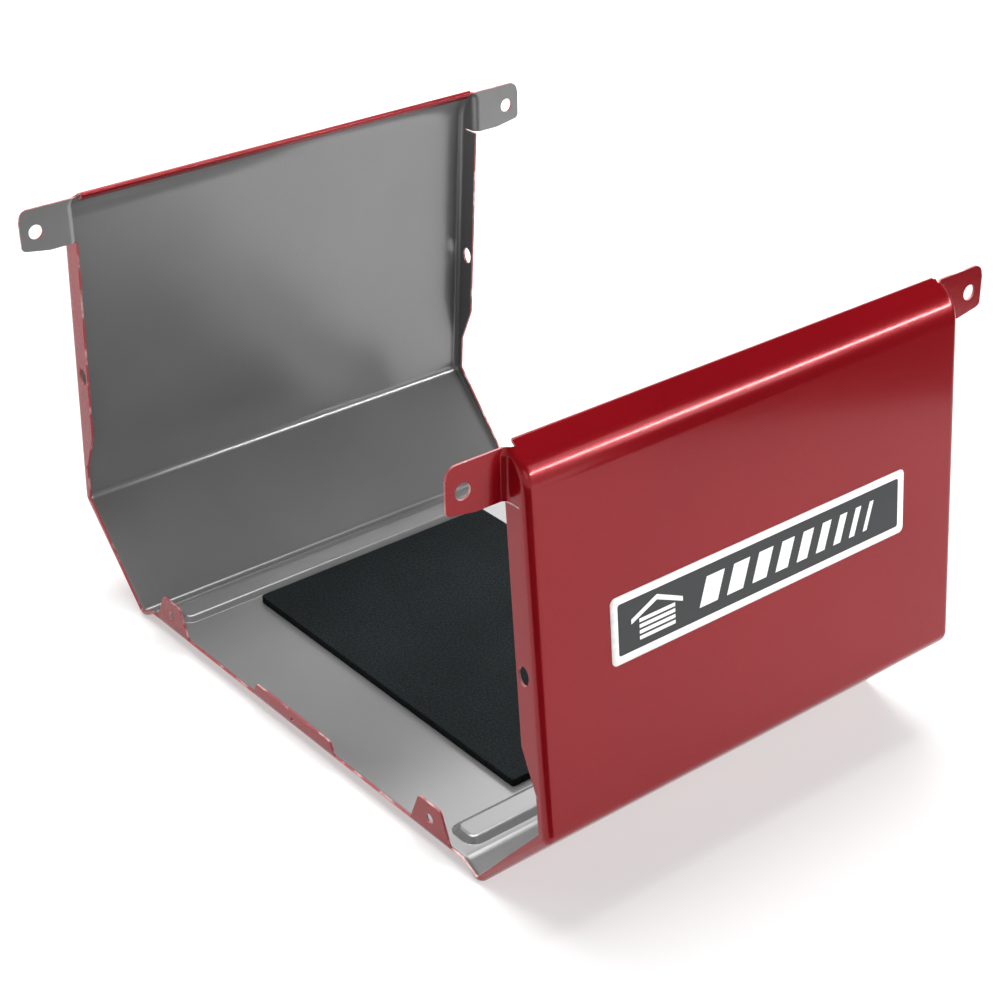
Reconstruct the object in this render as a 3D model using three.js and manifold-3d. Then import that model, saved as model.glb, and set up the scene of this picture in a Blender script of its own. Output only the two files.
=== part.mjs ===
// Wrap-around cover for the power head of a garage door opener.
//
// One sheet-steel shell, bent into a U, closes the sides and the bottom of the head. A foam pad
// is stuck to its floor and a printed label to one side. The shell lies with its floor down and
// its mouth up: X runs along the side panels, Y across them, and z = 0 is the surface under it.
import * as THREE from 'three';
import { mergeVertices } from 'three/addons/utils/BufferGeometryUtils.js';
import Module from 'manifold-3d';

const wasm = await Module();
wasm.setup();

// Driving dimensions, in millimetres and degrees. Outside sizes of the painted sheet.
const SHEET = 0.9;
const LENGTH = 200;
const HALF_WIDTH = 155.5;
const HEIGHT = 185;
const CHAMFER_RISE = 41.4;
const FOOT_HALF_WIDTH = 115.6;
const FLOOR_RISE = 5;
const STRIP_RUN = 8.6;
const SIDE_LEAN = 4.2;
const SHOULDER_RISE = 7.9;
const SHOULDER_ANGLE = 52;

// Bend radii of the outside surface.
const SHOULDER_RADIUS = 15;
const SIDE_RADIUS = 6;
const FOOT_RADIUS = 4;
const STRIP_RADIUS = 6;
const END_RADIUS = 3;

// Return flanges round the two open ends, measured in from the outside surface.
const LIP_WIDTH = 4.8;
const FOOT_LIP = 2.4;
const FLOOR_LIP = 2;
const TAPER_RISE = 17.3;
const TAPER_LENGTH = 16.1;
const FLANGE_SLOT_WIDTH = 5.3;
const FLANGE_SLOT_HEIGHT = 7.5;
const FLANGE_SLOT_RISE = 61.6;
const FLANGE_SLOT_INSET = 7.4;

// Ears that carry the screws.
const EAR_LENGTH = 23.2;
const EAR_BOTTOM_DROP = 20;
const EAR_TOP_DROP = 1.5;
const EAR_BEND = 2.5;
const EAR_HOLE = 6;
const EAR_HOLE_INSET = 6.6;
const EAR_HOLE_DROP = 11.2;
const EAR_TOP_CORNER = 4;
const EAR_LOWER_CORNER = 2;
const EAR_TAPER = 2;
const RELIEF_DEPTH = 7;
const RELIEF_GAP = 1.2;

// Tabs folded up from the floor's two ends.
const TAB_HEIGHT = 15.2;
const TAB_FROM_STRIP = 6.5;
const TAB_WIDTH = 24;
const TAB_DRAFT = 5.5;
const TAB_HOLE = 4.2;
const TAB_HOLE_RISE = 8.5;
const MIDDLE_TAB_HALF = 28;
const MIDDLE_TAB_HEIGHT = 7.7;
const MIDDLE_TAB_DRAFT = 2.8;
const MIDDLE_HOLE = 2.4;
const MIDDLE_HOLE_RISE = 3.9;
const TAB_CORNER = 2;

// Hem rolled along the top edge of each side.
const HEM_GAP = 0.5;
const HEM_FLAP = 3.5;
const HEM_END_RELIEF = 4;
const HEM_OVERLAP = 1;

// How far the shoulder's sheet runs on before the hem line trims it.
const TRIM_ALLOWANCE = 45;

// Stiffening ribs pressed up out of the floor.
const RIB_WIDTH = 15;
const RIB_HEIGHT = 2.2;
const RIB_DRAFT = 2;
const RIB_CORNER = 5;
const RIB_FROM_STRIP = 2.8;
const RIB_END_GAP = 7;

// Foam pad and label.
const PAD_THICKNESS = 3;
const PAD_END_GAP = 41;
const PAD_SIDE_GAP = 4;
const LABEL_LENGTH = 140.6;
const LABEL_HEIGHT = 25.4;
const LABEL_THICKNESS = 0.4;
const LABEL_CORNER = 2.2;
const LABEL_RISE = 68.3;
const LABEL_SHIFT = 1.5;
const STICK_GAP = 0.3;

// Fineness of the curves.
const BEND_STEPS = 6;
const HOLE_STEPS = 24;

// Points closer than this are one point.
const SAME_POINT = 1e-4;

const radians = THREE.MathUtils.degToRad;
const point = (y, z) => new THREE.Vector2(y, z);

// ---- plane geometry -------------------------------------------------------------------------

const direction = (from, to) => to.clone().sub(from).normalize();

// A line through the given corners, each rounded by its own radius (0 leaves it sharp).
function roundedPath(corners, steps = BEND_STEPS) {
  const path = [];
  corners.forEach(({ at, radius = 0 }, index) => {
    const before = corners[index - 1];
    const after = corners[index + 1];
    if (!before || !after || radius === 0) {
      path.push(at.clone());
      return;
    }
    const back = direction(at, before.at);
    const ahead = direction(at, after.at);
    const half = Math.acos(THREE.MathUtils.clamp(back.dot(ahead), -1, 1)) / 2;
    const toCentre = back.clone().add(ahead).normalize();
    const centre = at.clone().addScaledVector(toCentre, radius / Math.sin(half));
    const tangent = radius / Math.tan(half);
    const start = at.clone().addScaledVector(back, tangent).sub(centre);
    const end = at.clone().addScaledVector(ahead, tangent).sub(centre);
    const sweep = Math.atan2(start.cross(end), start.dot(end));
    for (let step = 0; step <= steps; step += 1) {
      path.push(start.clone().rotateAround(point(0, 0), (sweep * step) / steps).add(centre));
    }
  });
  return path.filter((at, index) => index === 0 || at.distanceTo(path[index - 1]) > SAME_POINT);
}

// The same line moved sideways, to its left when distance is positive.
function offsetPath(path, distance) {
  const last = path.length - 1;
  return path.map((at, index) => {
    const into = index > 0 ? direction(path[index - 1], at) : direction(at, path[1]);
    const out = index < last ? direction(at, path[index + 1]) : into;
    const along = into.clone().add(out).normalize();
    return at.clone().addScaledVector(point(-along.y, along.x), distance / along.dot(into));
  });
}

// The corner that two neighbouring edges make once both are moved inwards.
function insetCorner(before, at, after, inset) {
  const back = direction(at, before);
  const ahead = direction(at, after);
  const half = Math.acos(back.dot(ahead)) / 2;
  return at.clone().add(back.add(ahead).normalize().multiplyScalar(inset / Math.sin(half)));
}

// A strip of sheet that follows a line, as a closed outline.
function sheetOutline(path, thickness) {
  const left = offsetPath(path, thickness / 2);
  const right = offsetPath(path, -thickness / 2);
  return [...left, ...right.reverse()];
}

const mirrored = (path) => path.map((at) => point(-at.x, at.y)).reverse();
const bothHalves = (path) => [...mirrored(path), ...path];

// ---- solids ---------------------------------------------------------------------------------

const ALONG_X = new THREE.Matrix4().set(0, 0, 1, 0, 1, 0, 0, 0, 0, 1, 0, 0, 0, 0, 0, 1);
const ALONG_Y = new THREE.Matrix4().set(1, 0, 0, 0, 0, 0, -1, 0, 0, 1, 0, 0, 0, 0, 0, 1);
const ALONG_Z = new THREE.Matrix4();

function toManifold(geometry) {
  geometry.deleteAttribute('normal');
  geometry.deleteAttribute('uv');
  const merged = mergeVertices(geometry, SAME_POINT);
  const vertProperties = new Float32Array(merged.attributes.position.array);
  const triVerts = new Uint32Array(merged.index.array);
  return new wasm.Manifold(new wasm.Mesh({ numProp: 3, vertProperties, triVerts }));
}

function toGeometry(solid) {
  const mesh = solid.getMesh();
  const geometry = new THREE.BufferGeometry();
  geometry.setAttribute('position', new THREE.BufferAttribute(new Float32Array(mesh.vertProperties), 3));
  geometry.setIndex(new THREE.BufferAttribute(new Uint32Array(mesh.triVerts), 1));
  geometry.computeVertexNormals();
  return geometry;
}

// A closed outline pushed from one station to another, with its two end edges rounded.
function prism(outline, axis, from, to, round = 0) {
  const rounded = { bevelThickness: round, bevelSize: round, bevelOffset: -round, bevelSegments: BEND_STEPS };
  const geometry = new THREE.ExtrudeGeometry(new THREE.Shape(outline), {
    depth: to - from - 2 * round,
    bevelEnabled: round > 0,
    curveSegments: HOLE_STEPS,
    ...(round > 0 ? rounded : {}),
  });
  geometry.translate(0, 0, axis === ALONG_Y ? -to + round : from + round);
  geometry.applyMatrix4(axis);
  return toManifold(geometry);
}

// An upright oval, a round hole when both sizes are the same.
function ovalOutline(centre, width, height) {
  const oval = new THREE.EllipseCurve(centre.x, centre.y, width / 2, height / 2, 0, 2 * Math.PI);
  return oval.getPoints(HOLE_STEPS).slice(0, -1);
}

const joined = (solids) => solids.reduce((whole, next) => whole.add(next));
const cut = (solid, cutters) => cutters.reduce((whole, next) => whole.subtract(next), solid);

// ---- outline of the shell, across the side panels -------------------------------------------

const halfLength = LENGTH / 2;
const shoulderZ = HEIGHT - SHOULDER_RISE;
const leanSlope = Math.tan(radians(SIDE_LEAN));
const sideY = (z) => HALF_WIDTH - leanSlope * (z - CHAMFER_RISE);
const shoulderY = sideY(shoulderZ);
const shoulderUp = point(-Math.sin(radians(SHOULDER_ANGLE)), Math.cos(radians(SHOULDER_ANGLE)));
const shoulderIn = point(-shoulderUp.y, shoulderUp.x);
const earPlane = shoulderY - SHOULDER_RISE * Math.tan(radians(SHOULDER_ANGLE));

const floorEdge = point(FOOT_HALF_WIDTH - STRIP_RUN, FLOOR_RISE);
const foot = point(FOOT_HALF_WIDTH, 0);
const sideFoot = point(HALF_WIDTH, CHAMFER_RISE);
const shoulder = point(shoulderY, shoulderZ);
const pastTheTop = shoulder.clone().addScaledVector(shoulderUp, TRIM_ALLOWANCE);

const halfProfile = roundedPath([
  { at: point(0, FLOOR_RISE) },
  { at: floorEdge, radius: STRIP_RADIUS },
  { at: foot, radius: FOOT_RADIUS },
  { at: sideFoot, radius: SIDE_RADIUS },
  { at: shoulder, radius: SHOULDER_RADIUS },
  { at: pastTheTop },
]).slice(1);
const profile = bothHalves(halfProfile);
const lowestPoint = Math.min(...profile.map((at) => at.y));

// The hem's roll, placed so that its top is at HEIGHT.
const rollRadius = SHEET + HEM_GAP / 2;
const hemReach = (SHOULDER_RISE - rollRadius * (1 - Math.sin(radians(SHOULDER_ANGLE)))) / shoulderUp.y;
const hemLine = shoulder.clone().addScaledVector(shoulderUp, hemReach);

function hemOutline() {
  const middle = hemLine.clone().addScaledVector(shoulderIn, SHEET / 2);
  const fold = rollRadius - SHEET / 2;
  const crest = middle.clone().addScaledVector(shoulderUp, fold);
  const path = roundedPath([
    { at: middle.clone().addScaledVector(shoulderUp, -HEM_OVERLAP) },
    { at: crest, radius: fold },
    { at: crest.clone().addScaledVector(shoulderIn, 2 * fold), radius: fold },
    { at: middle.clone().addScaledVector(shoulderIn, 2 * fold).addScaledVector(shoulderUp, -HEM_FLAP) },
  ]);
  return sheetOutline(path, SHEET);
}

// Everything beyond the hem line, which the shoulder's sheet is trimmed to.
function trimOutline() {
  const across = shoulderIn.clone().multiplyScalar(HALF_WIDTH);
  const beyond = shoulderUp.clone().multiplyScalar(HALF_WIDTH);
  const outer = hemLine.clone().sub(across);
  const inner = hemLine.clone().addScaledVector(shoulderIn, 2 * SHEET);
  return [inner, outer, outer.clone().add(beyond), inner.clone().add(beyond)];
}

// ---- the open ends --------------------------------------------------------------------------

const earBottom = HEIGHT - EAR_BOTTOM_DROP;
const earTop = HEIGHT - EAR_TOP_DROP;
const flangeWidth = sideY(earBottom) - earPlane;
const tabOuter = floorEdge.x - TAB_FROM_STRIP;
const tabInner = tabOuter - TAB_WIDTH;
const taperStart = CHAMFER_RISE + TAPER_RISE;
const taperEnd = taperStart + TAPER_LENGTH;
const slotZ = CHAMFER_RISE + FLANGE_SLOT_RISE;
const floorLipZ = FLOOR_RISE + FLOOR_LIP;
const tabTop = FLOOR_RISE + TAB_HEIGHT;
const middleTop = FLOOR_RISE + MIDDLE_TAB_HEIGHT;

// The opening in each end, which leaves the flanges, lips and tabs standing round it.
function openingOutline() {
  const footLip = insetCorner(floorEdge, foot, sideFoot, FOOT_LIP);
  const sideLip = insetCorner(foot, sideFoot, shoulder, LIP_WIDTH);
  return bothHalves(roundedPath([
    { at: point(0, middleTop) },
    { at: point(MIDDLE_TAB_HALF - MIDDLE_TAB_DRAFT, middleTop), radius: TAB_CORNER },
    { at: point(MIDDLE_TAB_HALF, floorLipZ) },
    { at: point(tabInner, floorLipZ) },
    { at: point(tabInner + TAB_DRAFT, tabTop), radius: TAB_CORNER },
    { at: point(tabOuter - TAB_DRAFT, tabTop), radius: TAB_CORNER },
    { at: point(tabOuter, floorLipZ) },
    { at: footLip },
    { at: sideLip, radius: TAB_CORNER },
    { at: point(sideY(taperStart) - LIP_WIDTH, taperStart), radius: SIDE_RADIUS },
    { at: point(sideY(taperEnd) - flangeWidth, taperEnd), radius: SIDE_RADIUS },
    { at: point(sideY(earBottom) - flangeWidth, earBottom) },
    { at: point(earPlane + EAR_BEND, earBottom) },
    { at: point(earPlane + EAR_BEND, HEIGHT + HALF_WIDTH) },
  ]).slice(1));
}

// Cutters for one end, on the side where X is positive; the other end mirrors them.
function endCutters() {
  const through = [halfLength - END_RADIUS - SHEET, halfLength + SHEET];
  const slotY = sideY(slotZ) - FLANGE_SLOT_INSET;
  const tabMiddle = (tabInner + tabOuter) / 2;
  const reliefStart = earPlane - EAR_BEND;
  const reliefEnd = earPlane + RELIEF_DEPTH;
  const outlines = [
    openingOutline(),
    ovalOutline(point(0, FLOOR_RISE + MIDDLE_HOLE_RISE), MIDDLE_HOLE, MIDDLE_HOLE),
  ];
  for (const side of [-1, 1]) {
    outlines.push(ovalOutline(point(side * slotY, slotZ), FLANGE_SLOT_WIDTH, FLANGE_SLOT_HEIGHT));
    outlines.push(ovalOutline(point(side * tabMiddle, FLOOR_RISE + TAB_HOLE_RISE), TAB_HOLE, TAB_HOLE));
    outlines.push([
      point(side * reliefStart, earBottom - RELIEF_GAP),
      point(side * reliefEnd, earBottom - RELIEF_GAP),
      point(side * reliefEnd, earBottom),
      point(side * reliefStart, earBottom),
    ]);
  }
  return outlines.map((outline) => prism(outline, ALONG_X, ...through));
}

// ---- ears -----------------------------------------------------------------------------------

function earFace() {
  const root = halfLength - SHEET;
  const tip = halfLength + EAR_LENGTH;
  const waist = halfLength + EAR_LENGTH / 2;
  return roundedPath([
    { at: point(root, earBottom) },
    { at: point(waist, earBottom) },
    { at: point(tip, earBottom + EAR_TAPER), radius: EAR_LOWER_CORNER },
    { at: point(tip, earTop), radius: EAR_TOP_CORNER },
    { at: point(root, earTop) },
  ]);
}

// One ear at positive X and positive Y: out of the flange, round the bend and along X.
function makeEar(underShoulder) {
  const rootY = earPlane + 2 * EAR_BEND;
  const path = roundedPath([
    { at: point(halfLength - SHEET / 2, rootY) },
    { at: point(halfLength - SHEET / 2, earPlane), radius: EAR_BEND },
    { at: point(halfLength + EAR_LENGTH + EAR_BEND, earPlane) },
  ]);
  const strip = prism(sheetOutline(path, SHEET), ALONG_Z, earBottom, earTop);
  const reach = [earPlane - EAR_BEND, rootY + EAR_BEND];
  const holeCentre = point(halfLength + EAR_LENGTH - EAR_HOLE_INSET, HEIGHT - EAR_HOLE_DROP);
  const hole = prism(ovalOutline(holeCentre, EAR_HOLE, EAR_HOLE), ALONG_Y, ...reach);
  return strip.intersect(prism(earFace(), ALONG_Y, ...reach)).intersect(underShoulder).subtract(hole);
}

// ---- ribs -----------------------------------------------------------------------------------

const ribOuter = floorEdge.x - RIB_FROM_STRIP;
const ribInner = ribOuter - RIB_WIDTH;
const ribReach = halfLength - RIB_END_GAP;

// A long rounded bar with sloping sides, whose base is level with z = 0.
function ribBar(grow) {
  const end = ribReach + grow;
  const outer = ribOuter + grow;
  const inner = ribInner - grow;
  const corners = [point(-end, inner), point(end, inner), point(end, outer), point(-end, outer)];
  const ringed = [...corners, corners[0], corners[1]].map((at) => ({ at, radius: RIB_CORNER }));
  const outline = roundedPath(ringed, BEND_STEPS).slice(1, -1);
  const geometry = new THREE.ExtrudeGeometry(new THREE.Shape(outline), {
    depth: RIB_HEIGHT,
    bevelEnabled: true,
    bevelThickness: RIB_HEIGHT,
    bevelSize: RIB_DRAFT,
    bevelOffset: -RIB_DRAFT,
    bevelSegments: 1,
  });
  geometry.translate(0, 0, -RIB_HEIGHT);
  return toManifold(geometry);
}

// ---- the three pieces -----------------------------------------------------------------------

function makeShell() {
  const round = END_RADIUS;
  const outer = prism(profile, ALONG_X, -halfLength, halfLength, round);
  const innerProfile = bothHalves(offsetPath(halfProfile, SHEET));
  const liftedTop = innerProfile.map((at) => at.clone());
  liftedTop[0].addScaledVector(point(-shoulderUp.x, shoulderUp.y), END_RADIUS);
  liftedTop[liftedTop.length - 1].addScaledVector(shoulderUp, END_RADIUS);
  const inner = prism(liftedTop, ALONG_X, -halfLength + SHEET, halfLength - SHEET, round - SHEET);
  const underShoulder = prism(profile, ALONG_X, -LENGTH, LENGTH);

  const trimOutlines = [trimOutline(), mirrored(trimOutline())];
  const trims = trimOutlines.map((outline) => prism(outline, ALONG_X, -LENGTH, LENGTH));
  const trimmed = cut(outer.subtract(inner), trims);

  const ends = endCutters();
  const opened = cut(trimmed, [...ends, ...ends.map((cutter) => cutter.mirror([1, 0, 0]))]);

  const hemEnd = halfLength - HEM_END_RELIEF;
  const hemOutlines = [hemOutline(), mirrored(hemOutline())];
  const hems = hemOutlines.map((outline) => prism(outline, ALONG_X, -hemEnd, hemEnd));

  const ear = makeEar(underShoulder);
  const pair = [ear, ear.mirror([1, 0, 0])];
  const ears = [...pair, ...pair.map((one) => one.mirror([0, 1, 0]))];

  const raised = ribBar(0).translate([0, 0, FLOOR_RISE + SHEET]);
  const groove = ribBar(-SHEET).translate([0, 0, FLOOR_RISE]);
  const floorCut = FLOOR_RISE + SHEET / 2;
  const above = prism([
    point(-HALF_WIDTH, floorCut),
    point(HALF_WIDTH, floorCut),
    point(HALF_WIDTH, HEIGHT),
    point(-HALF_WIDTH, HEIGHT),
  ], ALONG_X, -LENGTH, LENGTH);
  const ridges = [raised.intersect(above), raised.intersect(above).mirror([0, 1, 0])];
  return cut(joined([opened, ...hems, ...ears, ...ridges]), [groove, groove.mirror([0, 1, 0])]);
}

function makePad() {
  const halfLong = halfLength - PAD_END_GAP;
  const halfWide = ribInner - PAD_SIDE_GAP;
  const floor = FLOOR_RISE + SHEET + STICK_GAP;
  const outline = [
    point(-halfWide, floor),
    point(halfWide, floor),
    point(halfWide, floor + PAD_THICKNESS),
    point(-halfWide, floor + PAD_THICKNESS),
  ];
  return prism(outline, ALONG_X, -halfLong, halfLong);
}

// The label stands on the outside of the side panel at negative Y, and leans with it.
function makeLabel() {
  const long = LABEL_LENGTH / 2;
  const high = LABEL_HEIGHT / 2;
  const ring = [point(-long, -high), point(long, -high), point(long, high), point(-long, high)];
  const ringed = [...ring, ring[0], ring[1]].map((at) => ({ at, radius: LABEL_CORNER }));
  return prism(roundedPath(ringed, BEND_STEPS).slice(1, -1), ALONG_Y, -LABEL_THICKNESS, 0);
}

function addPiece(group, name, solid, finish) {
  const mesh = new THREE.Mesh(toGeometry(solid), new THREE.MeshStandardMaterial(finish));
  mesh.name = name;
  group.add(mesh);
  return mesh;
}

const cover = new THREE.Group();
cover.position.z = -lowestPoint;

addPiece(cover, 'cover_shell', makeShell(), { color: 0x8c1a26, roughness: 0.32, metalness: 0.1 });
addPiece(cover, 'foam_pad', makePad(), { color: 0x1f2322, roughness: 0.95, metalness: 0 });

const label = addPiece(cover, 'side_label', makeLabel(), { color: 0xf2f2f2, roughness: 0.45, metalness: 0 });
const labelZ = CHAMFER_RISE + LABEL_RISE * Math.cos(radians(SIDE_LEAN));
label.rotation.x = -radians(SIDE_LEAN);
label.position.set(LABEL_SHIFT, -sideY(labelZ) - STICK_GAP, labelZ);

export default cover;
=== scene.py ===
"""Wrap-around cover for the power head of a garage door opener.

One sheet-steel shell, bent into a U, with a foam pad stuck to its floor and a printed label on one side.
It lies with its floor down and its mouth up: X runs along the side panels and Y across them.
The shell is modelled as the outside face of the sheet, one quarter first, and the sheet then gets its wall.
"""

from math import acos, atan2, cos, pi, radians, sin, tan
from types import SimpleNamespace

import bmesh
import bpy
from mathutils import Matrix, Vector


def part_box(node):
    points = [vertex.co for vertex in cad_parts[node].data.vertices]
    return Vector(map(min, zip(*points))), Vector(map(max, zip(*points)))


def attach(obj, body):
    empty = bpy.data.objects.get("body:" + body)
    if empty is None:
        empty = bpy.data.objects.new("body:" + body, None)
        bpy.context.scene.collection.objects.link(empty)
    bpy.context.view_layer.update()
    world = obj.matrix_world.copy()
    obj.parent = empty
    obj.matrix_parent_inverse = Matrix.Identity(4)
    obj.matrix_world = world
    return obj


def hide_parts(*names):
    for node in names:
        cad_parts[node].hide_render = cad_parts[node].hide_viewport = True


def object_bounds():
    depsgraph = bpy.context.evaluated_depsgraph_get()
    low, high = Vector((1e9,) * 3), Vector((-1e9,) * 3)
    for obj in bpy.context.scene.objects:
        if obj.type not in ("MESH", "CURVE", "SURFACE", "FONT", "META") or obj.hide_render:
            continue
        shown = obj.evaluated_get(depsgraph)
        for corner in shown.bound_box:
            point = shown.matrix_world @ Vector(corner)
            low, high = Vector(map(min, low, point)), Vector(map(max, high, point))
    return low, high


bl_info = {
    "name": "Opener Cover",
    "version": (1, 0, 0),
    "blender": (4, 5, 0),
    "location": "3D View > Sidebar > Opener Cover",
    "description": "Builds the folded sheet-steel cover of a garage door opener, its foam pad and its label",
    "category": "Object",
}

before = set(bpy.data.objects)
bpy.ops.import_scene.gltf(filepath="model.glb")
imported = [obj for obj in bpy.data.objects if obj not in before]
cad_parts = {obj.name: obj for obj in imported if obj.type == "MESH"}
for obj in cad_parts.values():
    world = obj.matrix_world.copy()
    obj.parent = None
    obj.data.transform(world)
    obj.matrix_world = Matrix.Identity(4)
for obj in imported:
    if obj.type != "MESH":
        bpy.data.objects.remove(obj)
CAD_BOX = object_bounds()
SHELL_LOW, SHELL_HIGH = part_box("cover_shell")
PAD_LOW, PAD_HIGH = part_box("foam_pad")
LABEL_LOW, LABEL_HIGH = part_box("side_label")

MM = 0.001

# Millimetres: points closer than this are one, and pieces that touch stay this far apart.
SAME_POINT = 0.002
CLEARANCE = 0.02

# Steps round the bend at an open end, round an ear's second bend, up to a tab and in a rib's rounds.
BEND_STEPS = 8
EAR_STEPS = 6
TAB_STEPS = 2
RIB_STEPS = 4

# Millimetres: the pad's corners, top edge and unevenness; and the strips its face is cut into.
PAD_CORNER = 1.2
PAD_EDGE = 0.45
PAD_SWELL = 0.06
PAD_RIPPLE = 0.04
PAD_CUTS = (16, 24)

# Millimetres: the label as the frame has it, and the film, border and corners drawn here.
LABEL_THICKNESS = 0.4
FILM = 0.22
LABEL_BORDER = 3.0
LABEL_CORNER = 2.2
FIELD_CORNER = 1.0

# The row of slanted bars on the label: count, left end, foot, height, lean, first width, step and gap.
BARS = 9
BARS_LEFT = -31
BARS_FOOT = -5.4
BAR_HEIGHT = 10.8
BAR_LEAN = 3.6
BAR_WIDTH = 8.4
BAR_STEP = 0.8
BAR_GAP = 4.4

# Metres, and the share of full white that the table's painted glow gives under the object.
FLOOR_HALF = 6.0
TABLE_GLOW = 0.45

# Soft lights: name, azimuth and elevation in degrees, distance and (width, height) in metres, watts.
SOFTBOXES = (
    ("key", 165, 77, 1.7, (1.6, 1.2), 49),
    ("back", 140, 30, 2.0, (1.2, 0.8), 12),
    ("front", -18, 22, 2.2, (1.4, 0.6), 4),
    ("left", -112, 34, 2.0, (1.0, 1.0), 3.5),
    ("strip", 43, 21, 1.6, (1.3, 0.05), 15),
    ("glow", 35, 21, 1.6, (0.26, 0.7), 1.6),
)

# Black cards: name, centre and (width, height) in metres, azimuth and tilt in degrees.
CARDS = (
    ("upright_card", (0.69, -0.18, 0.12), (1.2, 0.24), 35, 90),
    ("lying_card", (-0.62, -0.76, 0.002), (1.1, 1.1), 0, 0),
)


# ---- settings ----


def length(name, description, size):
    """A length property, given in millimetres and kept in metres."""
    return bpy.props.FloatProperty(
        name=name, description=description, default=size * MM, min=0.0, unit="LENGTH", precision=5
    )


def angle(name, description, degrees):
    return bpy.props.FloatProperty(
        name=name, description=description, default=radians(degrees), unit="ROTATION"
    )


def colour(name, description, code):
    """A colour property, given as an sRGB hex value and kept linear."""
    return bpy.props.FloatVectorProperty(
        name=name, description=description, default=linear(code), size=4, min=0.0, max=1.0, subtype="COLOR"
    )


def linear(code):
    """The linear RGBA value of an sRGB hex colour."""
    channels = [int(code[i : i + 2], 16) / 255 for i in (1, 3, 5)]
    return [c / 12.92 if c <= 0.04045 else ((c + 0.055) / 1.055) ** 2.4 for c in channels] + [1.0]


def in_mm(settings):
    """The same settings with their lengths in millimetres, which the modelling works in."""
    values = {}
    for key in settings.__annotations__:
        value = getattr(settings, key)
        is_length = settings.bl_rna.properties[key].unit == "LENGTH"
        values[key] = round(value / MM, 3) if is_length else value
    return SimpleNamespace(**values)


class ShellSettings(bpy.types.PropertyGroup):
    """Outside sizes of the folded shell."""

    sheet: length("Sheet", "Thickness of the painted sheet", 0.9)
    half_width: length("Half width", "From the middle to the fold at the bottom of a side panel", 155.5)
    fold_rise: length("Fold rise", "Height of that fold over the foot", 41.4)
    foot: length("Foot", "From the middle to the foot that the shell stands on", 115.6)
    floor_rise: length("Floor rise", "Height of the floor over the foot", 5.0)
    strip_run: length("Strip run", "Width of the sloping strip between the floor and the foot", 8.6)
    lean: angle("Lean", "How far a side panel leans in", 4.2)
    shoulder_drop: length("Shoulder drop", "From the shoulder fold up to the top of the hem", 7.9)
    shoulder_angle: angle("Shoulder", "Slope of the shoulder, from upright", 52.0)
    shoulder_radius: length("Shoulder radius", "Bend radius at the shoulder", 15.0)
    side_radius: length("Side radius", "Bend radius at the bottom of a side panel", 6.0)
    foot_radius: length("Foot radius", "Bend radius at the foot", 4.0)
    strip_radius: length("Strip radius", "Bend radius at the edge of the floor", 6.0)
    end_radius: length("End radius", "Bend radius of the flanges at the open ends", 3.0)


class EndSettings(bpy.types.PropertyGroup):
    """Flanges, tabs and ears at the shell's open ends."""

    lip: length("Lip", "Depth of the lip beside a chamfer panel", 4.8)
    foot_lip: length("Foot lip", "Depth of the lip at the foot", 2.4)
    floor_lip: length("Floor lip", "Height of the lip along the floor", 2.0)
    flange: length("Flange", "Depth of the flange beside a side panel", 11.0)
    taper_start: length("Taper start", "Height at which the lip starts to widen", 58.7)
    taper: length("Taper", "Height over which it widens to the flange", 16.1)
    slot_width: length("Slot width", "Width of the oval slot", 5.3)
    slot_height: length("Slot height", "Height of the oval slot", 7.5)
    slot_rise: length("Slot rise", "Height of the slot's middle", 103.0)
    slot_inset: length("Slot inset", "From the side panel to the slot's middle", 7.4)
    ear_length: length("Ear length", "How far an ear stands out", 23.2)
    ear_bottom: length("Ear bottom", "From the top of the hem down to an ear's lower edge", 20.0)
    ear_top: length("Ear top", "From the top of the hem down to an ear's upper edge", 1.5)
    ear_bend: length("Ear bend", "Bend radius at an ear's root", 2.5)
    ear_hole: length("Ear hole", "Diameter of the screw hole", 6.0)
    ear_hole_inset: length("Ear hole inset", "From an ear's tip to the hole's middle", 6.6)
    ear_hole_drop: length("Ear hole drop", "From the top of the hem down to the hole's middle", 11.2)
    ear_corner: length("Ear corner", "Radius of an ear's upper corner", 4.0)
    ear_lower_corner: length("Ear lower corner", "Radius of an ear's lower corner", 2.0)
    ear_taper: length("Ear taper", "How far the lower edge rises over an ear's outer half", 2.0)
    ear_nick: length("Ear nick", "Step that the shears leave under the upper corner", 0.3)
    relief_depth: length("Relief depth", "Depth of the slit under an ear, from the ear's plane", 7.0)
    relief_gap: length("Relief gap", "Height of that slit", 0.7)
    tab_width: length("Tab width", "Width of a corner tab at its foot", 24.0)
    tab_outer: length("Tab place", "From the middle to a corner tab's outer edge", 100.5)
    tab_height: length("Tab height", "Height of a corner tab over the floor", 15.2)
    tab_draft: length("Tab draft", "How far each edge of a corner tab slopes in", 5.5)
    tab_hole: length("Tab hole", "Diameter of a corner tab's hole", 4.2)
    tab_hole_rise: length("Tab hole rise", "Height of that hole over the floor", 8.5)
    middle_half: length("Middle tab", "Half the width of the middle tab", 28.0)
    middle_height: length("Middle height", "Height of the middle tab over the floor", 7.7)
    middle_draft: length("Middle draft", "How far each edge of the middle tab slopes in", 2.8)
    middle_hole: length("Middle hole", "Diameter of the middle tab's pilot hole", 2.2)
    middle_hole_rise: length("Middle hole rise", "Height of that hole over the floor", 4.2)
    tab_corner: length("Tab corner", "Corner radius of the tabs", 2.0)


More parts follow.
